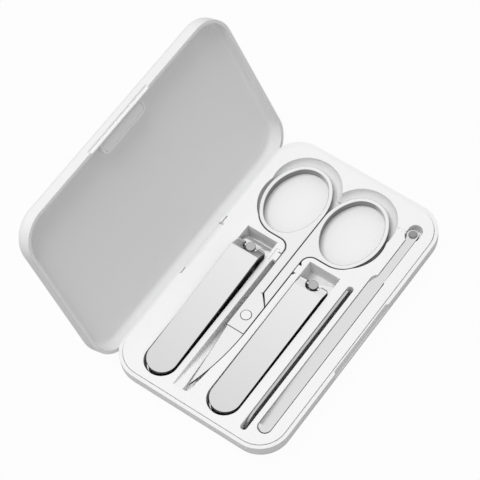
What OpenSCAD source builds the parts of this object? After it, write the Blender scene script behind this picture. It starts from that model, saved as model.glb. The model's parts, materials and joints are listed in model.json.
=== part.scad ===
// Pocket manicure case: a hinged box with a moulded tray that holds two nail
// clippers, scissors, a nail file and an ear pick.
//
// Frame: origin at the centre of the case's underside, +X across the case from
// the hinge to the opening side, +Y along the hinge, +Z up. The lid is open.
//
// The case's width and length follow from the tools and the lands between them,
// so a longer clipper or a wider land makes a larger case.

/* [Case] */
// Radius of the case's four upright corners
corner_r = 12.2; // [10:0.1:14]
// Height of the base's rim above the table
rim_h = 10.6; // [10.4:0.1:12]
// Radius of the rounded edge under the base
belly_r = 7.5; // [6:0.1:8]
// Wall of the base
base_wall = 1.4; // [1.2:0.1:1.6]
// Floor of the base
base_floor = 2.2; // [1.6:0.1:2.2]
// Length of the finger scoop in the opening side
scoop_l = 34; // [20:1:50]
// Depth of the finger scoop
scoop_depth = 0.8; // [0.4:0.1:1]
// Height of the finger scoop's face on the base
scoop_h = 3; // [1.5:0.1:4]

/* [Lid] */
// Height of the closed lid above its own rim
lid_h = 6.7; // [6.5:0.1:9]
// Wall of the lid
lid_wall = 1.3; // [1:0.1:1.3]
// Top skin of the lid
lid_skin = 1.3; // [0.9:0.1:1.5]
// Radius of the lid's outer top edge
lid_edge_r = 2.5; // [1.5:0.1:3.5]
// Radius inside the lid, where the wall meets the skin
lid_inner_r = 2; // [1:0.1:3]
// Angle that the lid is open
lid_angle = 113.4; // [90:0.1:114]

/* [Hinge] */
// Distance of the hinge axis from the back of the case
hinge_inset = 2.4; // [2.3:0.1:2.6]
// Distance of the hinge axis below the base's rim
hinge_drop = 3.1; // [2.9:0.1:3.2]
// Length of the lid's knuckle
knuckle_l = 22; // [16:1:30]
// Width of each bearing ear beside the knuckle
ear_w = 2.9; // [2:0.1:4]
// Diameter of the hinge pin
hinge_pin_d = 1.6; // [1.2:0.1:2]

/* [Tray] */
// Height that the tray's top stands above the base's rim
tray_rise = 0.4; // [0.2:0.1:0.5]
// Top plate of the tray
tray_skin = 1.2; // [0.8:0.1:1.4]
// Walls round the pockets
pocket_wall = 0.9; // [0.7:0.1:1]
// Depth of the clippers' pockets and the file's slot
deep_pocket = 7.5; // [6.5:0.1:8]
// Depth of the scissors' pocket under the loops
loop_pocket = 3.5; // [3.5:0.1:4.5]
// Depth of the scissors' pocket under the shanks
shank_pocket = 4.8; // [4.2:0.1:6]
// Depth of the pick's pocket
pick_pocket = 1.5; // [1.4:0.1:2.5]
// Land between the hinge side and the first clipper's pocket
hinge_land = 10.7; // [9.5:0.05:13]
// Land between the first clipper's pocket and the scissors' channel
channel_land_l = 2.35; // [1.8:0.05:5]
// Land between the scissors' channel and the second clipper's pocket
channel_land_r = 2.55; // [1.8:0.05:5]
// Land between the second clipper's pocket and the file's slot
file_land = 4.05; // [3:0.05:6]
// Land between the file's slot and the pick's pocket
pick_land = 2.1; // [1.6:0.05:5]
// Land between the pick's pocket and the opening side
opening_land = 5.9; // [5.5:0.05:9]
// Land between the clippers' pockets and the near end of the case
tail_land = 4.4; // [4:0.05:8]
// Land between the clippers' pockets and the finger loops' pocket
loop_land = 1.85; // [1.5:0.05:5]
// Land between the finger loops' pocket and the far end of the case
far_land = 7.25; // [6:0.05:12]

/* [Clippers] */
// Width of each clipper
clipper_w = 12; // [10:0.1:12.4]
// Length of each clipper
clipper_l = 65.5; // [60:0.5:66]
// Sheet that the jaws are stamped from
jaw_t = 1.8; // [1.2:0.1:1.9]
// Sheet that the lever is stamped from
lever_t = 1.3; // [1:0.1:1.6]
// Diameter of the post's neck
post_d = 3; // [2.4:0.1:3.2]
// Diameter of the post's head
post_head_d = 3.8; // [3.4:0.1:4.4]
// Diameter of the pin that the lever turns on
fulcrum_d = 1.3; // [1:0.1:1.4]
// Gap between the two cutting edges
bite = 1.3; // [0.8:0.1:1.5]

/* [Scissors] */
// Thickness of the scissors at the loops
scissor_t = 3.4; // [3:0.1:3.4]
// Half width of a finger loop, outside
loop_a = 12.45; // [11:0.05:12.6]
// Half length of a finger loop, outside
loop_b = 16; // [14:0.1:16.2]
// Width of the loop's band
loop_band = 1.65; // [1.2:0.05:2.4]
// Width of the two shanks together
shank_w = 7.5; // [6:0.1:7.6]
// Length of the blades from the pivot to the tip
blade_l = 34.2; // [28:0.1:35]
// Diameter of the pivot screw
screw_d = 3.1; // [2:0.1:3.4]
// Diameter of the pivot screw's heads
screw_head_d = 3.9; // [3.6:0.1:4.4]

/* [File and pick] */
// Thickness of the nail file
file_t = 1; // [0.6:0.1:1.4]
// Width of the nail file
file_w = 7; // [5:0.1:7]
// Width of the pick's flat handle
pick_w = 4.9; // [4:0.1:5]
// Thickness of the pick
pick_t = 1.3; // [1:0.1:1.4]
// Diameter of the pick's spoon
spoon_d = 4.4; // [3.2:0.1:4.6]

/* [Hidden] */
$fn = 96;
eps = 0.01;

// Running gaps
lid_gap = 0.2;          // between the closed lid and the rim
parting_gap = 0.15;     // between the tray and the base's wall
run_gap = 0.05;         // round a pin
swing_gap = 0.3;        // round what swings
seat_gap = 0.1;         // under a tool that lies in its pocket

// Heights
tray_z = rim_h + tray_rise;
lid_z = rim_h + lid_gap;
deep_z = tray_z - deep_pocket;
loop_z = tray_z - loop_pocket;
shank_z = tray_z - shank_pocket;
pick_z = tray_z - pick_pocket;

// Gaps round the tools in their pockets
clipper_gap = 0.65;     // each side of a clipper
tail_gap = 0.8;         // behind a clipper's tail
front_gap = 2.3;        // before a clipper's jaws
channel_gap_l = 1.75;   // left of the shanks
channel_gap_r = 0.4;    // right of the shanks
split_gap = 0.1;        // each half, between the shanks
scissor_gap = 0.45;     // round the loops and the shoulders
loop_side_gap = 1.25;   // beside the loops, where a fingertip goes in
tip_gap = 2.4;          // before the scissors' tip
file_gap = 0.15;        // on the file's left, which leans on the slot
finger_gap = 1.45;      // on the file's right, where a nail goes in
pick_gap = 0.3;         // each side of the pick

// Widths of the pockets
clipper_pocket_w = clipper_w + 2 * clipper_gap;
channel_w = channel_gap_l + shank_w + channel_gap_r;
file_slot_w = file_gap + file_t + finger_gap;
pick_pocket_w = pick_w + 2 * pick_gap;

// Across the case, from the hinge side to the opening side
case_w = hinge_land + clipper_pocket_w + channel_land_l + channel_w + channel_land_r
         + clipper_pocket_w + file_land + file_slot_w + pick_land + pick_pocket_w + opening_land;
clipper_a_x = -case_w / 2 + hinge_land + clipper_pocket_w / 2;
scissor_x = clipper_a_x + clipper_pocket_w / 2 + channel_land_l + channel_gap_l + shank_w / 2;
clipper_b_x = scissor_x + shank_w / 2 + channel_gap_r + channel_land_r + clipper_pocket_w / 2;
file_slot_x = clipper_b_x + clipper_pocket_w / 2 + file_land + file_slot_w / 2;
file_x = file_slot_x - file_slot_w / 2 + file_gap + file_t / 2;
pick_x = file_slot_x + file_slot_w / 2 + pick_land + pick_pocket_w / 2;

// Along the case, from the clippers' tails to the finger loops
jaw_front = 5.2;        // from the post to the jaws' front edge
clipper_pocket_l = tail_gap + clipper_l + front_gap;
loop_pocket_l = 2 * (scissor_gap + loop_b);
case_l = tail_land + clipper_pocket_l + loop_land + loop_pocket_l + far_land;
near_y = -case_l / 2;
pocket_near_y = near_y + tail_land;     // near end of both clippers' pockets
pocket_far_y = pocket_near_y + clipper_pocket_l;
post_y = pocket_far_y - front_gap - jaw_front;
loop_y = pocket_far_y + loop_land + loop_pocket_l / 2;
scissor_y = near_y + 5.7 + tip_gap + blade_l;   // scissors' pivot
file_near_y = pocket_near_y + 0.3;
file_far_y = pocket_far_y - 0.3;
pick_near_y = near_y + 7.25 + pick_pocket_w / 2;
pick_far_y = -near_y - 7.75 - pick_pocket_w / 2;
spoon_y = pick_far_y - 1.8;
half_w = shank_w / 2;

// Hinge axis
hinge_x = -case_w / 2 + hinge_inset;
hinge_z = rim_h - hinge_drop;
knuckle_r = hinge_inset;
hinge_pin_l = knuckle_l + 2 * ear_w - 0.6;
arm_reach = norm([hinge_inset, lid_z - hinge_z]);   // far corner of the lid's arm

// Tray outline
tray_inset = base_wall + parting_gap;

// ---------------------------------------------------------------- helpers

// Rectangle with round corners, centred
module round_rect(w, l, r) {
    square([w - 2 * r, l], center = true);
    square([w, l - 2 * r], center = true);
    for (sx = [-1, 1], sy = [-1, 1])
        translate([sx * (w / 2 - r), sy * (l / 2 - r)]) circle(r);
}

// Cross-section of a dish: flat sides, lower corners rounded by edge_r
module dish_section(w, h, edge_r) {
    translate([-w / 2 + edge_r, 0]) square([w - 2 * edge_r, h]);
    translate([-w / 2, edge_r]) square([w, h - edge_r]);
    for (s = [-1, 1])
        intersection() {
            translate([s * (w / 2 - edge_r), edge_r]) circle(edge_r);
            translate([-w / 2, 0]) square([w, edge_r + eps]);
        }
}

// Solid dish with round upright corners and a rounded lower edge
module dish(w, l, h, r, edge_r) {
    rotate([90, 0, 0]) linear_extrude(l - 2 * r, center = true) dish_section(w, h, edge_r);
    rotate([90, 0, 90]) linear_extrude(w - 2 * r, center = true) dish_section(l, h, edge_r);
    for (sx = [-1, 1], sy = [-1, 1])
        translate([sx * (w / 2 - r), sy * (l / 2 - r), 0])
            rotate_extrude()
                intersection() {
                    dish_section(2 * r, h, edge_r);
                    square([r, h]);
                }
}

// Oval of four arcs: half width a, half length b, end radius r
module oval(a, b, r) {
    side_r = (a * a + (b - r) * (b - r) - r * r) / (2 * (a - r));
    tangent_y = (b - r) * side_r / (side_r - r);
    intersection() {
        translate([a - side_r, 0]) circle(side_r, $fn = 180);
        translate([side_r - a, 0]) circle(side_r, $fn = 180);
        square([2 * a, 2 * tangent_y], center = true);
    }
    for (s = [-1, 1]) translate([0, s * (b - r)]) circle(r);
}

// Slot along Y with round ends, its ends at y0 and y1
module slot(w, y0, y1) {
    translate([-w / 2, y0 + w / 2]) square([w, y1 - y0 - w]);
    for (y = [y0 + w / 2, y1 - w / 2]) translate([0, y]) circle(w / 2);
}

// Bar along X, its side view given in (y, z)
module bar_x(w) {
    rotate([90, 0, 90]) linear_extrude(w, center = true) children();
}

// Rod along Y through the hinge axis
module hinge_rod(r, l) {
    translate([hinge_x, 0, hinge_z]) rotate([90, 0, 0]) cylinder(r = r, h = l, center = true);
}

// The open lid: its pieces are drawn closed and turned about the hinge
module opened() {
    translate([hinge_x, 0, hinge_z]) rotate([0, -lid_angle, 0])
        translate([-hinge_x, 0, -hinge_z]) children();
}

// Finger scoop in the opening side, from z0 to z1
module finger_scoop(z0, z1) {
    face_x = case_w / 2 - scoop_depth;
    translate([0, 0, z0]) linear_extrude(z1 - z0)
        polygon([[face_x, -scoop_l / 2 + scoop_depth], [face_x + 2, -scoop_l / 2 - scoop_depth],
                 [face_x + 2, scoop_l / 2 + scoop_depth], [face_x, scoop_l / 2 - scoop_depth]]);
}

// ---------------------------------------------------------------- base

magnet_l = 16;
magnet_w = 1.8;
magnet_h = 3.6;
magnet_x = case_w / 2 - tray_inset - pocket_wall - 0.3 - magnet_w / 2;
magnet_z = tray_z - tray_skin - magnet_h - 0.1;

module base_shell() {
    color("whitesmoke") {
        difference() {
            union() {
                difference() {
                    dish(case_w, case_l, rim_h, corner_r, belly_r);
                    translate([0, 0, base_floor])
                        dish(case_w - 2 * base_wall, case_l - 2 * base_wall, rim_h,
                             corner_r - base_wall, belly_r - base_wall);
                }
                hinge_rod(knuckle_r - 0.1, knuckle_l + 2 * swing_gap + 2 * ear_w);
            }
            // room for the lid's knuckle and arm
            hinge_rod(arm_reach + swing_gap, knuckle_l + 2 * swing_gap);
            hinge_rod(hinge_pin_d / 2, hinge_pin_l);
            rolled_edge();
            finger_scoop(rim_h - scoop_h, rim_h + 1);
        }
        // rib under the magnet
        translate([magnet_x - magnet_w / 2, -magnet_l / 2, base_floor - eps])
            cube([magnet_w, magnet_l, magnet_z - base_floor + eps]);
    }
}

// What is cut off the back rim, so that the lid's wall rolls round it
module rolled_edge() {
    roll_r = norm([hinge_inset - lid_wall, lid_z - hinge_z]) - 0.3;
    difference() {
        translate([hinge_x - 10, -case_l, hinge_z]) cube([10, 2 * case_l, 10]);
        hinge_rod(roll_r, 2 * case_l);
    }
}

module hinge_pin() {
    color("silver") hinge_rod(hinge_pin_d / 2, hinge_pin_l);
}

module base_magnet() {
    color("dimgray")
        translate([magnet_x - magnet_w / 2, -magnet_l / 2, magnet_z])
            cube([magnet_w, magnet_l, magnet_h]);
}

// ---------------------------------------------------------------- tray

loop_x = loop_a - 0.15;         // crescents, each side of the scissors
loop_crescent_y = loop_y + loop_b - 9.8;
loop_crescent_r = loop_a + 1.05;
loop_end_r = loop_a - 1.95;     // end radius of a loop's oval

// Plan of one clipper's pocket, grown by g
module clipper_pocket(x, g) {
    r = clipper_pocket_w / 2 + g;
    translate([x, 0]) {
        translate([0, pocket_near_y + clipper_pocket_w / 2]) circle(r);
        translate([-r, pocket_near_y + clipper_pocket_w / 2])
            square([2 * r, clipper_pocket_l + g - clipper_pocket_w / 2]);
    }
}

module file_pocket(g) {
    translate([file_slot_x, 0]) slot(file_slot_w + 2 * g, file_near_y - g, file_far_y + g);
}

pick_shoulder_y = pick_far_y - 22.3;
pick_neck_x = pick_x + 0.6;     // the neck lies right of the handle's centre line
pick_neck_w = 3.6;
pick_neck_lap = 8;              // how far the neck's pocket runs into the handle's

// Handle and neck of the pick's pocket
module pick_pocket_plan(g) {
    r = pick_pocket_w / 2 + g;
    translate([pick_x, 0]) slot(2 * r, pick_near_y - r, pick_shoulder_y + g);
    translate([pick_neck_x - pick_neck_w / 2 - g, pick_shoulder_y - pick_neck_lap])
        square([pick_neck_w + 2 * g, spoon_y - pick_shoulder_y + pick_neck_lap]);
}

// Round well for the pick's spoon
module spoon_pocket_plan(g) {
    r = pick_pocket_w / 2 + g;
    translate([pick_x, 0]) slot(2 * r, spoon_y - r - 0.4, pick_far_y + r);
}

blade_r = 95;           // radius of a blade's back
tang_r = 4;             // corner between shank and shoulder
fingertip_r = 15;       // bulge of the pocket beside a loop
shoulder_land_y = loop_y - loop_b;              // edge of the scissors' shoulders
channel_far_y = shoulder_land_y - tang_r - 1.1; // far end of the channel's wide part
tip_floor_z = loop_z;   // the channel's floor under the scissors' tip
tip_shelf_z = tray_z - 0.8;     // the channel's floor beside the tip

// Both loops' pocket, at the loops' floor
module loop_pocket_plan(g) {
    gap = scissor_gap + g;
    translate([scissor_x, 0])
        for (s = [0, 1]) mirror([s, 0]) {
            translate([loop_a + split_gap, loop_y])
                oval(loop_a + gap, loop_b + gap, loop_end_r + g);
            // room for a fingertip beside the loop
            translate([2 * loop_a + loop_side_gap - fingertip_r, loop_y - 1]) circle(fingertip_r + g);
            // shoulders and shanks, with the corner between them
            translate([0, shoulder_land_y - gap]) square([loop_a, loop_b]);
            translate([0, channel_far_y - 1])
                square([half_w + gap, shoulder_land_y - channel_far_y + 3]);
            difference() {
                translate([half_w + gap - eps, shoulder_land_y - tang_r])
                    square([tang_r - gap, tang_r - gap + eps]);
                translate([half_w + tang_r, shoulder_land_y - tang_r]) circle(tang_r - gap);
            }
        }
}

// Channel for the shanks, the pivot and the blades
module shank_channel_plan(g) {
    x0 = scissor_x - half_w - channel_gap_l - g;
    x1 = scissor_x + half_w + channel_gap_r + g;
    tip_y = scissor_y - blade_l - tip_gap - g;
    translate([x0, scissor_y - 6]) square([x1 - x0, channel_far_y + g - scissor_y + 6]);
    intersection() {
        translate([x0, tip_y]) square([x1 - x0, scissor_y - tip_y]);
        union() {
            translate([x1 - blade_r, scissor_y - 4.8]) circle(blade_r, $fn = 360);
            // room for the lower blade's straight edge, which stands out near the tip
            translate([scissor_x, scissor_y])
                polygon([[-half_w, ricasso_y], [half_w - edge_inset + channel_gap_r + g, ricasso_y],
                         [tip_cross + channel_gap_r + g, -blade_l],
                         [tip_cross + channel_gap_r + g - 0.9, tip_y - scissor_y],
                         [-half_w, tip_y - scissor_y]]);
        }
    }
}

// Everything that is hollow in the tray
module tray_pockets() {
    top = tray_z + 1;
    for (x = [clipper_a_x, clipper_b_x])
        translate([0, 0, deep_z]) linear_extrude(top - deep_z) clipper_pocket(x, 0);
    translate([0, 0, deep_z]) linear_extrude(top - deep_z) file_pocket(0);
    translate([0, 0, pick_z]) linear_extrude(top - pick_z) pick_pocket_plan(0);
    translate([0, 0, pick_z - 3]) linear_extrude(top - pick_z + 3) spoon_pocket_plan(0);
    translate([0, 0, loop_z]) linear_extrude(top - loop_z) loop_pocket_plan(0);
    // crescents that let a fingertip under the loops, with a rounded foot
    for (s = [-1, 1])
        translate([scissor_x + s * loop_x, loop_crescent_y, loop_z])
            rotate_extrude()
                intersection() {
                    dish_section(2 * loop_crescent_r, loop_pocket + 1, loop_pocket - 0.2);
                    square([loop_crescent_r, loop_pocket + 1]);
                }
    // the channel's floor climbs towards the tip, and more so beside the blades
    climbing_channel(tip_shelf_z);
    intersection() {
        climbing_channel(tip_floor_z);
        translate([scissor_x, scissor_y, 0]) linear_extrude(top)
            polygon([[-half_w - 0.6, ricasso_y], [-tip_cross - 0.85, -blade_l],
                     [-tip_cross - 0.85, -blade_l - tip_gap], [shank_w, -blade_l - tip_gap],
                     [shank_w, ricasso_y]]);
    }
}

// The scissors' channel, its floor at tip_z by the tip
module climbing_channel(tip_z) {
    top = tray_z + 1;
    intersection() {
        translate([0, 0, shank_z]) linear_extrude(top - shank_z) shank_channel_plan(0);
        translate([scissor_x, 0, 0]) bar_x(2 * case_w)
            polygon([[loop_y, shank_z], [scissor_y + ricasso_y, shank_z],
                     [scissor_y - blade_l - tip_gap, tip_z],
                     [scissor_y - blade_l - tip_gap, top], [loop_y, top]]);
    }
}

// The pockets' walls and floors, before they are hollowed
module tray_pocket_walls() {
    g = pocket_wall;
    top = tray_z - eps;
    floor_z = base_floor;
    for (x = [clipper_a_x, clipper_b_x])
        translate([0, 0, floor_z]) linear_extrude(top - floor_z) clipper_pocket(x, g);
    translate([0, 0, floor_z]) linear_extrude(top - floor_z) file_pocket(g);
    translate([0, 0, pick_z - g]) linear_extrude(top - pick_z + g) pick_pocket_plan(g);
    translate([0, 0, pick_z - 3 - g]) linear_extrude(top - pick_z + 3 + g) spoon_pocket_plan(g);
    translate([0, 0, loop_z - g]) linear_extrude(top - loop_z + g) loop_pocket_plan(g);
    for (s = [-1, 1])
        translate([scissor_x + s * loop_x, loop_crescent_y, loop_z - g])
            cylinder(r = loop_crescent_r + g, h = top - loop_z + g);
    translate([0, 0, shank_z - g]) linear_extrude(top - shank_z + g) shank_channel_plan(g);
}

tray_w = case_w - 2 * tray_inset;
tray_l = case_l - 2 * tray_inset;
tray_r = corner_r - tray_inset;
tray_belly_r = belly_r - base_wall;
skirt_z = base_floor + tray_belly_r;    // the skirt ends above the base's rounded edge

tab_y = channel_far_y - 2.2;    // middle of the tabs that keep the shanks in
tab_l = 3.4;
tab_gap = 0.25;
tab_root = 0.5;         // how far a tab is buried in the channel's side
tab_h = 2;
mark_depth = 0.4;
mark_w = 0.9;
mark_l = 4;
chamfer_w = 1.1;        // chamfers beside the right tab
chamfer_l = 1.4;
groove_w = 1.2;         // shallow groove beside the left tab
groove_l = 5.6;

// Small tabs on both sides of the shanks
module tray_tabs() {
    left = scissor_x - half_w - channel_gap_l - tab_root;
    right = scissor_x + half_w + tab_gap;
    z0 = tray_z - tab_h;
    translate([left, tab_y - tab_l / 2, z0])
        cube([channel_gap_l + tab_root - tab_gap, tab_l, tab_h]);
    translate([right, tab_y - tab_l / 2, z0])
        cube([channel_gap_r - tab_gap + tab_root, tab_l, tab_h]);
}

// Shallow marks: beside the left tab, beside the right tab and near the pick's well
module tray_marks() {
    left = scissor_x - half_w - channel_gap_l;
    right = scissor_x + half_w + channel_gap_r;
    translate([left - groove_w, tab_y + 0.2 - groove_l / 2, tray_z - mark_depth])
        cube([groove_w + 0.1, groove_l, 1]);
    for (s = [-1, 1])
        translate([right - eps, tab_y + s * (tab_l + chamfer_l) / 2 - chamfer_l / 2,
                   tray_z - tab_h])
            linear_extrude(tab_h + 1)
                polygon([[0, 0], [0, chamfer_l], [chamfer_w, s > 0 ? 0 : chamfer_l]]);
    translate([pick_x - pick_pocket_w - 0.45, spoon_y - mark_w, tray_z - mark_depth])
        cube([mark_l, mark_w, 1]);
}

module tray_insert() {
    color("white") {
        difference() {
            intersection() {
                union() {
                    translate([0, 0, tray_z - tray_skin])
                        linear_extrude(tray_skin) round_rect(tray_w, tray_l, tray_r);
                    translate([0, 0, skirt_z]) linear_extrude(tray_z - skirt_z)
                        difference() {
                            round_rect(tray_w, tray_l, tray_r);
                            round_rect(tray_w - 2 * pocket_wall, tray_l - 2 * pocket_wall,
                                       tray_r - pocket_wall);
                        }
                    tray_pocket_walls();
                }
                translate([0, 0, base_floor])
                    dish(tray_w, tray_l, tray_z - base_floor, tray_r, tray_belly_r);
            }
            tray_pockets();
            tray_marks();
            // room for the hinge
            translate([-case_w, -knuckle_l / 2 - ear_w - 0.5, 0])
                cube([case_w + hinge_x + knuckle_r + 0.25, knuckle_l + 2 * ear_w + 1,
                      tray_z - tray_skin + eps]);
            hinge_rod(knuckle_r + 0.2, knuckle_l + 2 * ear_w + 1);
            translate([-case_w, -knuckle_l / 2 - ear_w - 0.5, 0])
                cube([case_w + hinge_x - 0.3, knuckle_l + 2 * ear_w + 1, 2 * tray_z]);
            translate([-case_w, -knuckle_l / 2 - swing_gap, 0])
                cube([case_w + hinge_x + 0.4, knuckle_l + 2 * swing_gap, 2 * tray_z]);
        }
        tray_tabs();
    }
}

// ---------------------------------------------------------------- lid

lid_magnet_w = 3;
lid_magnet_h = 2;
boss_l = 23.8;
boss_w = 6.1;
boss_depth = 0.7;       // from the lid's rim to the boss's face
boss_r = 2.6;
boss_x = case_w / 2 - lid_wall - boss_w / 2;
cover_t = 0.8;
cover_w = 4.6;
cover_l = 22.2;
cover_r = 1.6;

module lid_shell() {
    color("whitesmoke") opened() {
        difference() {
            union() {
                difference() {
                    translate([0, 0, lid_z + lid_h]) mirror([0, 0, 1])
                        dish(case_w, case_l, lid_h, corner_r, lid_edge_r);
                    translate([0, 0, lid_z + lid_h - lid_skin]) mirror([0, 0, 1])
                        dish(case_w - 2 * lid_wall, case_l - 2 * lid_wall, lid_h,
                             corner_r - lid_wall, lid_inner_r);
                }
                // boss for the magnet, against the opening side
                translate([boss_x, 0, lid_z + boss_depth])
                    linear_extrude(lid_h - boss_depth - lid_skin / 2) {
                        round_rect(boss_w, boss_l, boss_r);
                        translate([0, -boss_l / 2]) square([boss_w / 2 + lid_wall / 4, boss_l]);
                    }
                // knuckle and arm
                hinge_rod(knuckle_r, knuckle_l);
                translate([-case_w / 2, -knuckle_l / 2, hinge_z])
                    cube([lid_wall, knuckle_l, lid_z - hinge_z + 1]);
            }
            hinge_rod(hinge_pin_d / 2 + run_gap, knuckle_l + 1);
            finger_scoop(lid_z - 1, lid_z + 1.6);
            // seat of the cover and of the magnet under it
            translate([boss_x, 0, lid_z + boss_depth - 1]) linear_extrude(1 + cover_t)
                round_rect(cover_w, cover_l, cover_r);
            translate([boss_x - lid_magnet_w / 2, -magnet_l / 2, lid_z + boss_depth])
                cube([lid_magnet_w, magnet_l, cover_t + lid_magnet_h]);
        }
    }
}

module lid_magnet() {
    color("dimgray") opened()
        translate([boss_x - lid_magnet_w / 2, -magnet_l / 2, lid_z + boss_depth + cover_t])
            cube([lid_magnet_w, magnet_l, lid_magnet_h]);
}

module magnet_cover() {
    color("gainsboro") opened()
        translate([boss_x, 0, lid_z + boss_depth]) linear_extrude(cover_t)
            round_rect(cover_w, cover_l, cover_r);
}

// ---------------------------------------------------------------- clippers

// One clipper's own measures:
// [x, lever height at the bend, lever height at the tail, fulcrum height,
//  top of the upper jaw at the post, slant of the cutting edge]
clipper_a = [clipper_a_x, 11.1, 7.9, 7.8, 5.9, 0];
clipper_b = [clipper_b_x, 8.8, 7.7, 6.6, 5, 20];

tail_y = jaw_front - clipper_l;  // from the post's axis
rivet_y = tail_y + 6.5;
bend_y = -3.6;
knuckle_out_r = fulcrum_d / 2 + 0.65;
notch_r = 2.9;
head_t = 1;
jaw_clear = 0.05;       // between the two jaws at the tail

// Puts a clipper drawn about its post into its pocket
module at_clipper(c) {
    translate([c[0], post_y, deep_z + seat_gap]) children();
}

// Plan of a jaw, its front edge cut at the slant
module jaw_plan(c) {
    r = clipper_w / 2;
    translate([0, tail_y + r]) circle(r);
    polygon([[-r, tail_y + r], [r, tail_y + r], [r, jaw_front],
             [-r, jaw_front - clipper_w * tan(c[5])]]);
}

module lower_jaw(c) {
    drop = clipper_w * tan(c[5]);
    at_clipper(c) difference() {
        intersection() {
            linear_extrude(deep_pocket + 3) jaw_plan(c);
            union() {
                bar_x(clipper_w)
                    polygon([[tail_y - 1, 0], [jaw_front, 0], [jaw_front, jaw_t],
                             [tail_y - 1, jaw_t]]);
                // turned-up cutting edge along the slant
                translate([0, jaw_front - drop / 2, 0]) rotate([0, 0, c[5]]) bar_x(2 * clipper_w)
                    polygon([[-1.6, jaw_t - 0.5], [1, jaw_t - 0.5], [1, jaw_t + 0.7],
                             [-0.5, jaw_t + 0.7]]);
            }
        }
        translate([0, 0, -1]) cylinder(d = post_d, h = 5);
        translate([0, rivet_y, -1]) cylinder(d = 2, h = 5);
    }
}

module upper_jaw(c) {
    drop = clipper_w * tan(c[5]);
    z0 = jaw_t + jaw_clear;
    edge_z = jaw_t + 0.7 + bite;
    top_z = c[4];
    foot_z = max(top_z - jaw_t - 0.5, jaw_t + bite);    // clear of the lower jaw when squeezed
    mouth_z = edge_z - (edge_z - top_z + jaw_t) / 4;
    at_clipper(c) difference() {
        intersection() {
            linear_extrude(deep_pocket + 5) jaw_plan(c);
            union() {
                difference() {
                    bar_x(clipper_w)
                        polygon([[tail_y - 1, z0], [rivet_y, z0], [-2, top_z - jaw_t],
                                 [-2 + 1.6, top_z - jaw_t], [0.6, foot_z],
                                 [0.6, top_z], [-2, top_z], [rivet_y, z0 + jaw_t],
                                 [tail_y - 1, z0 + jaw_t]]);
                    // open above the lower jaw's turned-up edge
                    translate([0, jaw_front - drop / 2, 0.02]) rotate([0, 0, c[5]])
                        bar_x(2 * clipper_w)
                            polygon([[-1.6, -1], [3, -1], [3, edge_z], [-0.6, edge_z],
                                     [-1.6, mouth_z]]);
                }
                // beak that comes down to the cutting edge
                intersection() {
                    translate([0, jaw_front - drop / 2, 0]) rotate([0, 0, c[5]])
                        bar_x(2 * clipper_w)
                            polygon([[0, edge_z], [0.2, edge_z + 0.5],
                                     [-4.4, top_z], [-9, top_z], [-9, top_z - jaw_t],
                                     [-4.6, top_z - jaw_t], [-0.6, edge_z]]);
                    translate([-clipper_w, -4, 0])
                        cube([2 * clipper_w, 4 + 2 * jaw_front, deep_pocket + 5]);
                }
            }
        }
        translate([0, 0, -1]) cylinder(d = post_d + 1, h = 14);
        translate([0, rivet_y, -1]) cylinder(d = 2.3, h = 8);
    }
}

module post(c) {
    top = c[3] + 1.5;
    at_clipper(c) difference() {
        union() {
            cylinder(d = post_d, h = top - 0.1);
            translate([0, 0, top - head_t]) cylinder(d = post_head_d, h = head_t);
        }
        translate([0, 0, c[3]]) rotate([0, 90, 0]) cylinder(d = fulcrum_d, h = 10, center = true);
    }
}

module tail_rivet(c) {
    at_clipper(c) translate([0, rivet_y, 0]) {
        cylinder(d = 2, h = 2 * jaw_t + jaw_clear + 0.3);
        translate([0, 0, 2 * jaw_t + jaw_clear + 0.15]) cylinder(d = 3.4, h = 0.6);
    }
}

module fulcrum_pin(c) {
    at_clipper(c) translate([0, 0, c[3]]) rotate([0, 90, 0])
        cylinder(d = fulcrum_d, h = clipper_w - 3, center = true);
}

module lever(c) {
    r = clipper_w / 2;
    tail_y = tail_y + 0.5;
    slope = atan((c[1] - c[2]) / (bend_y - tail_y));
    at_clipper(c) difference() {
        intersection() {
            linear_extrude(20) union() {
                translate([0, tail_y + r]) circle(r);
                translate([-r, tail_y + r]) square([2 * r, knuckle_out_r - 1.4 - tail_y - r]);
                translate([-r + 1.4, tail_y + r])
                    square([2 * r - 2.8, knuckle_out_r - tail_y - r]);
                for (s = [-1, 1])
                    translate([s * (r - 1.4), knuckle_out_r - 1.4]) circle(1.4);
            }
            union() {
                bar_x(clipper_w)
                    polygon([[tail_y - 1, c[2] - lever_t], [bend_y - 0.3, c[1] - lever_t],
                             [0, c[3] - 0.4], [0.9, c[3] + 0.9],
                             [bend_y + 0.4, c[1] - 0.1], [bend_y - 0.4, c[1]],
                             [tail_y - 1, c[2]]]);
                translate([0, 0, c[3]]) rotate([0, 90, 0])
                    cylinder(r = knuckle_out_r, h = clipper_w, center = true);
            }
        }
        // notch round the post, open to the front
        translate([0, 0, -1]) cylinder(r = notch_r, h = 22);
        translate([-notch_r, 0, -1]) cube([2 * notch_r, 10, 22]);
        translate([0, 0, c[3]]) rotate([0, 90, 0])
            cylinder(r = fulcrum_d / 2 + run_gap, h = clipper_w - 2.6, center = true);
    }
}

// ---------------------------------------------------------------- scissors

half_t = scissor_t / 2;
layer_gap = 0.05;       // each half, at the lap
ricasso_y = -6.8;
edge_inset = 0.25;      // step in the outline where the cutting edge starts
tip_cross = 0.8;        // how far each tip has crossed the middle when closed
lap_y = 10.5;           // where the halves cross, above the pivot
kink_y = 6.2;
loop_cy = loop_y - scissor_y;
shoulder_y = shoulder_land_y - scissor_y;

// Puts the scissors, drawn about their pivot at mid thickness, into the pocket
module at_scissors() {
    translate([scissor_x, scissor_y, loop_z + seat_gap + half_t]) children();
}

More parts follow.
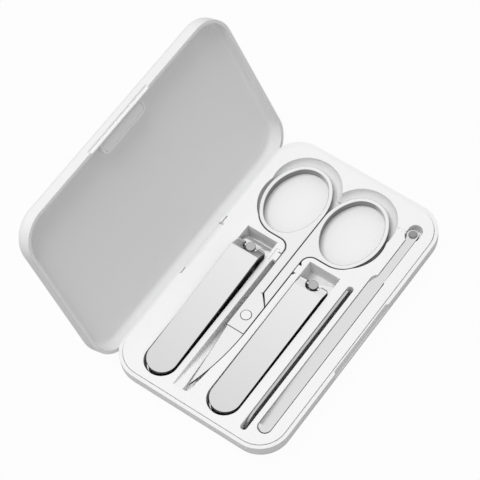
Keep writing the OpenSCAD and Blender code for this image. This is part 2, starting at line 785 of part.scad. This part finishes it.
// Left half as it lies: its loop on the left, its blade in the upper layer
module scissor_half() {
    difference() {
        union() {
            // loop, shoulder and shank, full thickness
            translate([0, 0, -half_t]) linear_extrude(scissor_t) difference() {
                union() {
                    translate([-loop_a - split_gap, loop_cy]) oval(loop_a, loop_b, loop_end_r);
                    translate([-loop_a - split_gap, shoulder_y])
                        square([loop_a, loop_cy - shoulder_y - 3]);
                    polygon([[-half_w, kink_y + 0.3], [-split_gap, lap_y + 0.4],
                             [-split_gap, loop_cy], [-half_w, loop_cy]]);
                    difference() {
                        translate([-half_w - tang_r, shoulder_y - tang_r])
                            square([tang_r + eps, tang_r + eps]);
                        translate([-half_w - tang_r, shoulder_y - tang_r]) circle(tang_r);
                    }
                }
                translate([-loop_a - split_gap, loop_cy])
                    oval(loop_a - loop_band, loop_b - loop_band, loop_end_r - loop_band);
            }
            // lapped plate at the pivot
            translate([0, 0, layer_gap]) linear_extrude(half_t - layer_gap)
                polygon([[-half_w, ricasso_y], [half_w, ricasso_y], [half_w, kink_y],
                         [-split_gap, lap_y], [-half_w, lap_y]]);
            // blade: curved back, straight edge
            translate([0, 0, layer_gap]) linear_extrude(half_t - layer_gap - 0.35)
                intersection() {
                    translate([half_w - blade_r, -4.8]) circle(blade_r, $fn = 360);
                    polygon([[-half_w + edge_inset, ricasso_y + eps], [half_w + 1, ricasso_y + eps],
                             [half_w + 1, -blade_l - 1.8], [-tip_cross, -blade_l]]);
                }
        }
        translate([0, 0, -5]) cylinder(d = screw_d + 2 * run_gap, h = 10);
        translate([0, 0, half_t - 0.8]) cylinder(d = screw_head_d + 2 * run_gap, h = 2);
    }
}

module scissors_left_half() {
    color("silver") at_scissors() scissor_half();
}

module scissors_right_half() {
    color("silver") at_scissors() rotate([0, 180, 0]) scissor_half();
}

module scissors_pivot_screw() {
    color("lightgray") at_scissors() {
        cylinder(d = screw_d, h = scissor_t - 0.6, center = true);
        for (s = [-1, 1])
            translate([0, 0, s * (half_t - 0.35)])
                cylinder(d = screw_head_d, h = 0.7, center = true);
    }
}

// ---------------------------------------------------------------- file and pick

module nail_file() {
    z0 = deep_z + seat_gap;
    near_y = file_near_y + 1.6;
    far_y = file_far_y - 1.2;
    point_r = file_w - 0.6;
    color("gainsboro") translate([file_x, 0, 0]) bar_x(file_t) difference() {
        union() {
            translate([near_y + point_r, z0]) square([far_y - near_y - point_r, file_w]);
            translate([near_y, z0]) square([point_r, file_w - point_r + eps]);
            intersection() {
                translate([near_y + point_r, z0 + file_w - point_r]) circle(point_r);
                translate([near_y, z0]) square([point_r, file_w]);
            }
        }
        difference() {
            translate([far_y - 1.2, z0 + file_w - 1.2]) square(2);
            translate([far_y - 1.2, z0 + file_w - 1.2]) circle(1.2);
        }
    }
}

module ear_pick() {
    bowl_d = 5.8;
    bowl_rise = 2.3;    // of the bowl's centre above the spoon
    flare_y = spoon_y - 3.5;
    z0 = pick_z + seat_gap;
    right = pick_x + pick_w / 2;
    taper_y = pick_shoulder_y - 4.6;
    neck_right = pick_neck_x + 1.6;
    neck_left = pick_neck_x - 1.5;
    color("silver") {
        difference() {
            translate([0, 0, z0]) linear_extrude(pick_t) {
                translate([pick_x, pick_near_y + 0.2]) circle(pick_w / 2);
                translate([pick_x - pick_w / 2, pick_near_y + 0.2])
                    square([pick_w, taper_y - pick_near_y]);
                polygon([[pick_x - pick_w / 2, taper_y], [right, taper_y], [neck_right, taper_y + 8],
                         [neck_right, flare_y], [pick_x + spoon_d / 2, spoon_y],
                         [pick_x - spoon_d / 2, spoon_y], [neck_left, flare_y],
                         [neck_left, taper_y + 4]]);
                translate([pick_x, spoon_y]) circle(spoon_d / 2);
            }
            // bowl of the spoon
            translate([pick_x, spoon_y + 0.2, z0 + pick_t + bowl_rise]) sphere(d = bowl_d);
        }
    }
}

base_shell();
tray_insert();
hinge_pin();
base_magnet();
lid_shell();
lid_magnet();
magnet_cover();
color("silver") lower_jaw(clipper_a);  // clipper_a_lower_jaw
color("silver") upper_jaw(clipper_a);  // clipper_a_upper_jaw
color("lightgray") post(clipper_a);  // clipper_a_post
color("lightgray") tail_rivet(clipper_a);  // clipper_a_tail_rivet
color("gray") fulcrum_pin(clipper_a);  // clipper_a_fulcrum_pin
color("silver") lever(clipper_a);  // clipper_a_lever
color("silver") lower_jaw(clipper_b);  // clipper_b_lower_jaw
color("silver") upper_jaw(clipper_b);  // clipper_b_upper_jaw
color("lightgray") post(clipper_b);  // clipper_b_post
color("lightgray") tail_rivet(clipper_b);  // clipper_b_tail_rivet
color("gray") fulcrum_pin(clipper_b);  // clipper_b_fulcrum_pin
color("silver") lever(clipper_b);  // clipper_b_lever
scissors_left_half();
scissors_right_half();
scissors_pivot_screw();
nail_file();
ear_pick();
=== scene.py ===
import json
import math

import bmesh
import bpy
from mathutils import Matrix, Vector


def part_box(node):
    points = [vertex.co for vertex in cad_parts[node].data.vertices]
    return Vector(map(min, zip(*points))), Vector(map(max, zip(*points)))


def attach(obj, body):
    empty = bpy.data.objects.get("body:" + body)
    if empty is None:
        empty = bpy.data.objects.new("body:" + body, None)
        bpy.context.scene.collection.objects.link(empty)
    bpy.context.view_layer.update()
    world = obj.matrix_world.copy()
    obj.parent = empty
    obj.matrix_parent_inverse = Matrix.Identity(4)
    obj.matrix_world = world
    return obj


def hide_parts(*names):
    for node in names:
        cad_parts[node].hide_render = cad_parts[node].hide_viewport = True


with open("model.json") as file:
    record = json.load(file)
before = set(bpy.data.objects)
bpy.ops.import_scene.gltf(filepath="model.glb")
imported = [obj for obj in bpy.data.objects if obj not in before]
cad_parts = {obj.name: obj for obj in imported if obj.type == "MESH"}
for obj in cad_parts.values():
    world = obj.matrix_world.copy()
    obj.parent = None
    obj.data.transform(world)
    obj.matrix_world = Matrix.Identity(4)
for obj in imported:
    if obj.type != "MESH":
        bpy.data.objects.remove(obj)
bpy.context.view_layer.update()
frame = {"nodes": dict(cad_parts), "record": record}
nodes = frame["nodes"]
print("frame loaded:", len(nodes), "nodes")


# Shader maths: a Wire is one socket of a node tree, so it can be written as an expression.
class Wire:
    def __init__(self, tree, socket):
        self.tree = tree
        self.socket = socket

    def maths(self, operation, first, second):
        return addNode(self.tree, "ShaderNodeMath", {"operation": operation}, {0: first, 1: second})

    def __add__(self, other):
        return self.maths("ADD", self, other)

    def __radd__(self, other):
        return self.maths("ADD", other, self)

    def __sub__(self, other):
        return self.maths("SUBTRACT", self, other)

    def __rsub__(self, other):
        return self.maths("SUBTRACT", other, self)

    def __mul__(self, other):
        return self.maths("MULTIPLY", self, other)

    def __rmul__(self, other):
        return self.maths("MULTIPLY", other, self)


def addNode(tree, kind, settings, values, output=0):
    # any node: its settings first, then the values or links of its sockets (a list links them all to one)
    node = tree.nodes.new(kind)
    for name, value in settings.items():
        setattr(node, name, value)
    for key, value in values.items():
        if isinstance(value, Wire):
            tree.links.new(value.socket, node.inputs[key])
        elif isinstance(value, list):
            for wire in value:
                tree.links.new(wire.socket, node.inputs[key])
        else:
            node.inputs[key].default_value = value
    return Wire(tree, node.outputs[output]) if node.outputs else None


def emptyTree(owner):
    owner.use_nodes = True
    owner.node_tree.nodes.clear()
    return owner.node_tree


def addObject(name, data):
    thing = bpy.data.objects.new(name, data)
    bpy.context.scene.collection.objects.link(thing)
    return thing


def objectCoords(tree, scale=(1, 1, 1), turn=(0, 0, 0)):
    coords = addNode(tree, "ShaderNodeTexCoord", {}, {}, "Object")
    return addNode(tree, "ShaderNodeMapping", {}, {"Vector": coords, "Rotation": turn, "Scale": scale})


noiseMiddle = 0.5  # what a noise node gives on average


def noise(tree, vector, scale, detail, rough=0.5):
    values = {"Vector": vector, "Scale": scale, "Detail": detail, "Roughness": rough}
    return addNode(tree, "ShaderNodeTexNoise", {}, values, "Fac")


def mixColour(tree, factor, first, second):
    values = {"Factor": factor, 6: first, 7: second}  # 6, 7 and output 2 are the Mix node's colours
    return addNode(tree, "ShaderNodeMix", {"data_type": "RGBA"}, values, 2)


def grey(value):
    return (value, value, value, 1.0)


def painted(tree, name):
    return addNode(tree, "ShaderNodeAttribute", {"attribute_name": name}, {}, "Fac")


bevelSamples = 6


def softRelief(tree, height, depth, strength, edge):
    # fine relief, over edges that the shading softens
    soft = addNode(tree, "ShaderNodeBevel", {"samples": bevelSamples}, {"Radius": edge})
    values = {"Height": height, "Distance": depth, "Strength": strength, "Normal": soft}
    return addNode(tree, "ShaderNodeBump", {}, values)


def surfaceShader(tree, values):
    shader = addNode(tree, "ShaderNodeBsdfPrincipled", {}, values)
    addNode(tree, "ShaderNodeOutputMaterial", {}, {"Surface": shader})


# Moulded plastic: fine spark-eroded satin, with soft edges
plastic = {"white": 0.86, "drift": 0.012, "rough": 0.40, "roughDrift": 0.07, "cloudScale": 18.0,
           "cloudDetail": 3.0, "grainSize": 0.00028, "grainDetail": 2.0, "grainRough": 0.6,
           "grainDepth": 0.0000025, "grainStrength": 0.6, "edge": 0.00018, "ior": 1.46}


def plasticMaterial(name, **changes):
    values = {**plastic, **changes}
    material = bpy.data.materials.new(name)
    tree = emptyTree(material)
    here = objectCoords(tree)
    cloud = noise(tree, here, values["cloudScale"], values["cloudDetail"])
    grain = noise(tree, here, 1.0 / values["grainSize"], values["grainDetail"], values["grainRough"])
    darker, lighter = values["white"] - values["drift"], values["white"] + values["drift"]
    surfaceShader(tree, {
        "Base Color": mixColour(tree, cloud, grey(darker), grey(lighter)),
        "Roughness": values["rough"] + (cloud - noiseMiddle) * values["roughDrift"],
        "IOR": values["ior"],
        "Normal": softRelief(tree, grain, values["grainDepth"], values["grainStrength"], values["edge"])})
    return material


# Stainless steel: ground faces with faint brushing; where a flank was only stamped it is rougher, and painted
# darker as shade.
# A lever's tail has a tone of its own, a painted reflection: darker at the tail, brighter towards the bend;
# the other tools have none.
steel = {"tone": 0.80, "toneDrift": 0.014, "flankTone": 0.22, "tailTone": None, "rough": 0.20,
         "roughDrift": 0.06, "flankRough": 0.16, "cloudScale": 60.0, "cloudDetail": 2.0, "cloudRough": 0.03,
         "streakWidth": 0.00010, "streakLength": 0.014, "streakDetail": 4.0, "streakRough": 0.65,
         "streakTurn": 0.0, "scratchDepth": 0.0000012, "scratchStrength": 0.5, "edge": 0.00010}


def steelMaterial(name, **changes):
    values = {**steel, **changes}
    material = bpy.data.materials.new(name)
    tree = emptyTree(material)
    across, along = 1.0 / values["streakWidth"], 1.0 / values["streakLength"]
    brushed = objectCoords(tree, (across, along, across), (0, 0, values["streakTurn"]))
    streaks = noise(tree, brushed, 1.0, values["streakDetail"], values["streakRough"])
    cloud = noise(tree, objectCoords(tree), values["cloudScale"], values["cloudDetail"])
    # painted shade on flanks and undersides, taken from each tool's mesh
    flank = painted(tree, "flank")
    darker, lighter = values["tone"] - values["toneDrift"], values["tone"] + values["toneDrift"]
    ground = mixColour(tree, streaks, grey(darker), grey(lighter))
    # painted reflection: a lever is darker at its tail and brighter towards its bend
    if values["tailTone"] is not None:
        ground = mixColour(tree, painted(tree, "reflectionRamp"), grey(values["tailTone"]), ground)
    smoothest = values["rough"] - values["roughDrift"] / 2
    roughness = (smoothest + streaks * values["roughDrift"] + (cloud - noiseMiddle) * values["cloudRough"]
                 + flank * values["flankRough"])
    surfaceShader(tree, {
        "Base Color": mixColour(tree, flank, ground, grey(values["flankTone"])),
        "Roughness": roughness,
        "Metallic": 1.0,
        "Normal": softRelief(tree, streaks, values["scratchDepth"], values["scratchStrength"],
                             values["edge"])})
    return material


caseWhite = plasticMaterial("case white")
trayWhite = plasticMaterial("tray white", white=0.88, rough=0.45)
# the lid is the case's plastic, painted a little darker as shade
lidShadedWhite = plasticMaterial("lid shaded white", white=0.82)
coverWhite = plasticMaterial("cover white", white=0.78, rough=0.2)
satinSteel = steelMaterial("satin steel", tone=0.86, flankTone=0.10)
brightSteel = steelMaterial("bright steel", tone=0.88, rough=0.12, flankTone=0.10)
# Levers and jaws: flanks painted near black, as the shade in the narrow gaps beside them
leverSteel = steelMaterial("lever steel", tone=0.84, flankTone=0.04, tailTone=0.70)
jawSteel = steelMaterial("jaw steel", tone=0.82, rough=0.10, flankTone=0.04)
rivetSteel = steelMaterial("rivet steel", tone=0.48, rough=0.16, flankTone=0.10)
pickSteel = steelMaterial("pick steel", tone=0.74, rough=0.26, flankTone=0.06)
fileSteel = steelMaterial("file steel", streakTurn=0.8, tone=0.6, rough=0.42)
nickel = steelMaterial("nickel", tone=0.5, rough=0.3)
print("materials made")

# Finishes: by the record's material slot, and by node where a piece has one of its own
slotFinish = {"case_white": caseWhite, "tray_white": trayWhite, "cover_white": coverWhite, "magnet": nickel,
              "steel_satin": satinSteel, "steel_polished": brightSteel}
specialFinish = {"lid_shell": lidShadedWhite, "nail_file": fileSteel, "ear_pick": pickSteel}
for clipper in ("clipper_a", "clipper_b"):
    specialFinish[clipper + "_post"] = rivetSteel
    specialFinish[clipper + "_lever"] = leverSteel
    specialFinish[clipper + "_upper_jaw"] = jawSteel
    specialFinish[clipper + "_lower_jaw"] = jawSteel
slotOf = {part["node"]: part["material_slot"] for part in frame["record"]["subparts"]}
bodyOf = {node: body for body, members in frame["record"]["behaviour"]["bodies"].items() for node in members}


def finishOf(nodeName):
    return specialFinish.get(nodeName) or slotFinish[slotOf[nodeName]]


for nodeName, piece in nodes.items():
    piece.data.materials.clear()
    piece.data.materials.append(finishOf(nodeName))
print("finishes given to the solids")

# Shade painted on the tools: flanks and undersides are painted dark as shade. The painted shade sets in as a
# face leans over: it starts where the normal's height falls below faceUp, jawUp or spoonUp, and is full at
# flankUp. endLight, tailLight and sideLight paint light back on faces that look along the case, and on faces
# turned to the hinge side where the lamp is. Lengths are in metres
toolShade = {"faceUp": 0.92, "jawUp": 0.75, "spoonUp": 0.995, "flankUp": 0.35, "endLight": 0.12,
             "tailLight": 0.75, "sideLight": 0.95, "underUp": -0.5, "underLever": 0.80, "bowlLength": 0.006,
             "bowlDip": 0.000002, "bowlUp": 0.3, "bowlShade": 0.60, "loopStart": 0.018, "loopFlankLight": 0.86,
             "reflectionRampRise": 1.15}


def between(value):
    return min(1.0, max(0.0, value))


def groundUp(nodeName, values):
    if nodeName == "ear_pick":
        return values["spoonUp"]
    return values["jawUp"] if "jaw" in nodeName else values["faceUp"]


def paintedFlankShade(face, nodeName, high, values):
    up = face.normal.z
    isLever = "lever" in nodeName
    # a lever's underside is painted dark, as the shade beneath it
    if isLever and up < values["underUp"]:
        return values["underLever"]
    # painted reflection: the spoon's bowl is painted darker, as the dark surroundings its hollow would mirror
    onSpoon = nodeName == "ear_pick" and face.center.y > high[1] - values["bowlLength"]
    if onSpoon and up > values["bowlUp"] and face.center.z < high[2] - values["bowlDip"]:
        return values["bowlShade"]
    start = groundUp(nodeName, values)
    steep = between((start - (up if isLever else abs(up))) / (start - values["flankUp"]))
    # painted light: flanks that look along the case, and flanks that face the hinge side and the lamp, are
    # painted lighter
    endLight = values["tailLight"] if "clipper" in nodeName else values["endLight"]
    steep *= 1.0 - endLight * face.normal.y ** 2
    steep *= 1.0 - values["sideLight"] * max(0.0, -face.normal.x)
    # painted light: the flanks of the scissors' loops are painted lighter
    if "half" in nodeName and face.center.y > values["loopStart"]:
        steep *= values["loopFlankLight"]
    return steep


def paintTool(mesh, nodeName, values):
    # painted shade: 0 on a ground face, up to 1 on a stamped flank or an underside; painted reflection: 0 at
    # the tail, 1 at the tip
    low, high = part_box(nodeName)
    flank = mesh.attributes.new("flank", "FLOAT", "CORNER")
    reflectionRamp = mesh.attributes.new("reflectionRamp", "FLOAT", "CORNER")
    for face in mesh.polygons:
        shade = paintedFlankShade(face, nodeName, high, values)
        for corner in face.loop_indices:
            along = (mesh.vertices[mesh.loops[corner].vertex_index].co.y - low[1]) / (high[1] - low[1])
            flank.data[corner].value = shade
            reflectionRamp.data[corner].value = between(along * values["reflectionRampRise"])


def bakeModifiers(piece):
    graph = bpy.context.evaluated_depsgraph_get()
    dressed = piece.evaluated_get(graph)
    mesh = bpy.data.meshes.new_from_object(dressed, preserve_all_data_layers=True, depsgraph=graph)
    piece.modifiers.clear()
    piece.data = mesh
    return mesh


# Rounded edges on the tools and the magnet's cover: angles in degrees, and each width in metres. The pick has
# none, and its flat faces are not merged, because that spoils its bowl
rounding = {"weld": 0.000002, "flat": 0.6, "corner": 30.0, "segments": 3, "sharp": 40.0}
edgeWidth = {"scissors_left_half": 0.00034, "scissors_right_half": 0.00034, "scissors_pivot_screw": 0.00014,
             "clipper_a_lever": 0.00016, "clipper_b_lever": 0.00016,
             "clipper_a_upper_jaw": 0.00015, "clipper_b_upper_jaw": 0.00015,
             "clipper_a_lower_jaw": 0.00015, "clipper_b_lower_jaw": 0.00015,
             "clipper_a_post": 0.00030, "clipper_b_post": 0.00030, "nail_file": 0.00008, "ear_pick": 0,
             "magnet_cover": 0.00035}


def roundedTool(nodeName, width, values):
    shell = bmesh.new()
    shell.from_mesh(nodes[nodeName].data)
    bmesh.ops.remove_doubles(shell, verts=shell.verts, dist=values["weld"])
    if width:
        flat = math.radians(values["flat"])
        bmesh.ops.dissolve_limit(shell, angle_limit=flat, verts=shell.verts, edges=shell.edges)
    mesh = bpy.data.meshes.new(nodeName + "_rounded")
    shell.to_mesh(mesh)
    shell.free()
    piece = addObject(nodeName + "_rounded", mesh)
    if width:
        bevel = piece.modifiers.new("rounding", "BEVEL")
        bevel.width = width
        bevel.segments = values["segments"]
        bevel.limit_method = "ANGLE"
        bevel.angle_limit = math.radians(values["corner"])
        bevel.use_clamp_overlap = False
    mesh = bakeModifiers(piece)
    mesh.polygons.foreach_set("use_smooth", [True] * len(mesh.polygons))
    mesh.set_sharp_from_angle(angle=math.radians(values["sharp"]))
    weighted = piece.modifiers.new("normals", "WEIGHTED_NORMAL")
    weighted.keep_sharp = True
    mesh = bakeModifiers(piece)
    paintTool(mesh, nodeName, toolShade)
    mesh.materials.clear()
    mesh.materials.append(finishOf(nodeName))
    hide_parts(nodeName)
    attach(piece, bodyOf[nodeName])


for nodeName, width in edgeWidth.items():
    roundedTool(nodeName, width, rounding)
print("tools rounded:", len(edgeWidth))

# File teeth: slanted ridges along both faces of the nail file
fileTeeth = {"corners": 3, "pitch": 0.0005, "tall": 0.00007, "slant": 28.0, "edge": 0.0006, "ends": 0.0022}


def teethTree():
    tree = bpy.data.node_groups.new("file teeth", "GeometryNodeTree")
    inputs = {"Count": "Int", "Corners": "Int", "Pitch": "Float", "Tall": "Float", "Reach": "Float",
              "Slant": "Float", "Left": "Float", "Right": "Float", "Start": "Float", "Middle": "Float",
              "Finish": "Material"}
    for name, kind in inputs.items():
        tree.interface.new_socket(name, in_out="INPUT", socket_type="NodeSocket" + kind)
    tree.interface.new_socket("Teeth", in_out="OUTPUT", socket_type="NodeSocketGeometry")

    def given(name):
        return addNode(tree, "NodeGroupInput", {}, {}, name)

    tooth = addNode(tree, "GeometryNodeMeshCylinder", {"fill_type": "NGON"},
                    {"Vertices": given("Corners"), "Radius": given("Tall"), "Depth": given("Reach")}, "Mesh")
    step = addNode(tree, "ShaderNodeCombineXYZ", {}, {"Y": given("Pitch")})
    sides = []
    for face, half in (("Right", 0.0), ("Left", math.pi)):
        start = addNode(tree, "ShaderNodeCombineXYZ", {},
                        {"X": given(face), "Y": given("Start"), "Z": given("Middle")})
        line = addNode(tree, "GeometryNodeMeshLine", {"mode": "OFFSET"},
                       {"Count": given("Count"), "Start Location": start, "Offset": step})
        lean = addNode(tree, "ShaderNodeCombineXYZ", {}, {"X": given("Slant"), "Z": half})
        sides.append(addNode(tree, "GeometryNodeInstanceOnPoints", {},
                             {"Points": line, "Instance": tooth, "Rotation": lean}))
    both = addNode(tree, "GeometryNodeJoinGeometry", {}, {"Geometry": sides})
    solid = addNode(tree, "GeometryNodeRealizeInstances", {}, {"Geometry": both})
    done = addNode(tree, "GeometryNodeSetMaterial", {}, {"Geometry": solid, "Material": given("Finish")})
    addNode(tree, "NodeGroupOutput", {}, {"Teeth": done})
    return tree


def makeFileTeeth(values):
    low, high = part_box("nail_file")
    lean = math.radians(values["slant"])
    length = high[1] - low[1] - 2 * values["ends"]
    tree = teethTree()
    piece = addObject("file_teeth", bpy.data.meshes.new("file_teeth"))
    modifier = piece.modifiers.new("teeth", "NODES")
    modifier.node_group = tree
    sizes = {"Count": int(length / values["pitch"]) + 1, "Corners": values["corners"],
             "Pitch": values["pitch"], "Tall": values["tall"],
             "Reach": (high[2] - low[2] - 2 * values["edge"]) / math.cos(lean), "Slant": lean,
             "Left": low[0], "Right": high[0], "Start": low[1] + values["ends"],
             "Middle": (low[2] + high[2]) / 2, "Finish": fileSteel}
    for socket in tree.interface.items_tree:
        if socket.in_out == "INPUT":
            modifier[socket.identifier] = sizes[socket.name]
    mesh = bakeModifiers(piece)
    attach(piece, bodyOf["nail_file"])
    return mesh


teeth = makeFileTeeth(fileTeeth)
print("file teeth cut:", len(teeth.polygons), "faces")


def rayIs(tree, kind):
    return addNode(tree, "ShaderNodeLightPath", {}, {}, "Is " + kind + " Ray")


# Floor: white paper, which the camera sees almost as pure white and which keeps the shadow
floorPaper = {"size": 6.0, "drop": 0.00002, "white": 0.50, "glow": 0.96, "rough": 0.9, "shine": 0.1}


def makeFloor(values):
    half = values["size"] / 2
    corners = [(-half, -half, 0), (half, -half, 0), (half, half, 0), (-half, half, 0)]
    mesh = bpy.data.meshes.new("floor")
    mesh.from_pydata(corners, [], [(0, 1, 2, 3)])
    floor = addObject("floor", mesh)
    floor.location.z = -values["drop"]
    material = bpy.data.materials.new("floor")
    tree = emptyTree(material)
    paper = addNode(tree, "ShaderNodeBsdfPrincipled", {},
                    {"Base Color": grey(values["white"]), "Roughness": values["rough"],
                     "Specular IOR Level": values["shine"]})
    glow = addNode(tree, "ShaderNodeEmission", {}, {"Color": grey(1.0), "Strength": 1.0})
    share = rayIs(tree, "Camera") * values["glow"]
    mixed = addNode(tree, "ShaderNodeMixShader", {}, {0: share, 1: paper, 2: glow})  # 0 is the factor
    addNode(tree, "ShaderNodeOutputMaterial", {}, {"Surface": mixed})
    mesh.materials.append(material)


# Sky: even and soft. The camera sees it white, and the steel mirrors it bright overhead, dark at the horizon
studioSky = {"light": 0.56, "horizon": 0.12, "domeLow": 0.05, "domeHigh": 0.65}


def makeSky(values):
    world = bpy.data.worlds.new("sky")
    bpy.context.scene.world = world
    tree = emptyTree(world)
    direction = addNode(tree, "ShaderNodeTexCoord", {}, {}, "Generated")
    height = addNode(tree, "ShaderNodeSeparateXYZ", {}, {"Vector": direction}, "Z")
    dome = addNode(tree, "ShaderNodeMapRange", {"interpolation_type": "SMOOTHSTEP"},
                   {"Value": height, "From Min": values["domeLow"], "From Max": values["domeHigh"],
                    "To Min": values["horizon"], "To Max": 1.0})
    seen = rayIs(tree, "Camera") + rayIs(tree, "Transmission")
    mirrored = rayIs(tree, "Glossy") * (dome - values["light"])
    strength = values["light"] + seen * (1.0 - values["light"]) + mirrored
    light = addNode(tree, "ShaderNodeBackground", {}, {"Color": grey(1.0), "Strength": strength})
    addNode(tree, "ShaderNodeOutputWorld", {}, {"Surface": light})


# Lamp: one softbox overhead, a little to the hinge side, aimed at the case
softbox = {"place": (-0.225, -0.14, 0.86), "size": 0.45, "power": 4.2}


def makeLamp(values):
    lamp = bpy.data.lights.new("softbox", "AREA")
    lamp.shape = "SQUARE"
    lamp.size = values["size"]
    lamp.energy = values["power"]
    box = addObject("softbox", lamp)
    box.visible_glossy = False  # the steel mirrors the even sky instead
    box.location = values["place"]
    box.rotation_mode = "QUATERNION"
    box.rotation_quaternion = (-Vector(values["place"])).to_track_quat("-Z", "Y")


makeFloor(floorPaper)
makeSky(studioSky)
makeLamp(softbox)
print("studio made")

# Camera: found from the case's edges in the photo
view = {"place": (0.274128, -0.306483, 0.753439), "turn": (30.0214, 4.3711, 35.9015), "lens": 176.167,
        "sensor": 36.0, "clipStart": 0.01}


def makeCamera(values):
    data = bpy.data.cameras.new("camera")
    data.lens = values["lens"]
    data.sensor_width = values["sensor"]
    data.clip_start = values["clipStart"]
    camera = addObject("camera", data)
    camera.location = values["place"]
    camera.rotation_euler = [math.radians(angle) for angle in values["turn"]]
    bpy.context.scene.camera = camera


makeCamera(view)
bpy.context.scene.view_settings.view_transform = "Standard"
print("camera set")
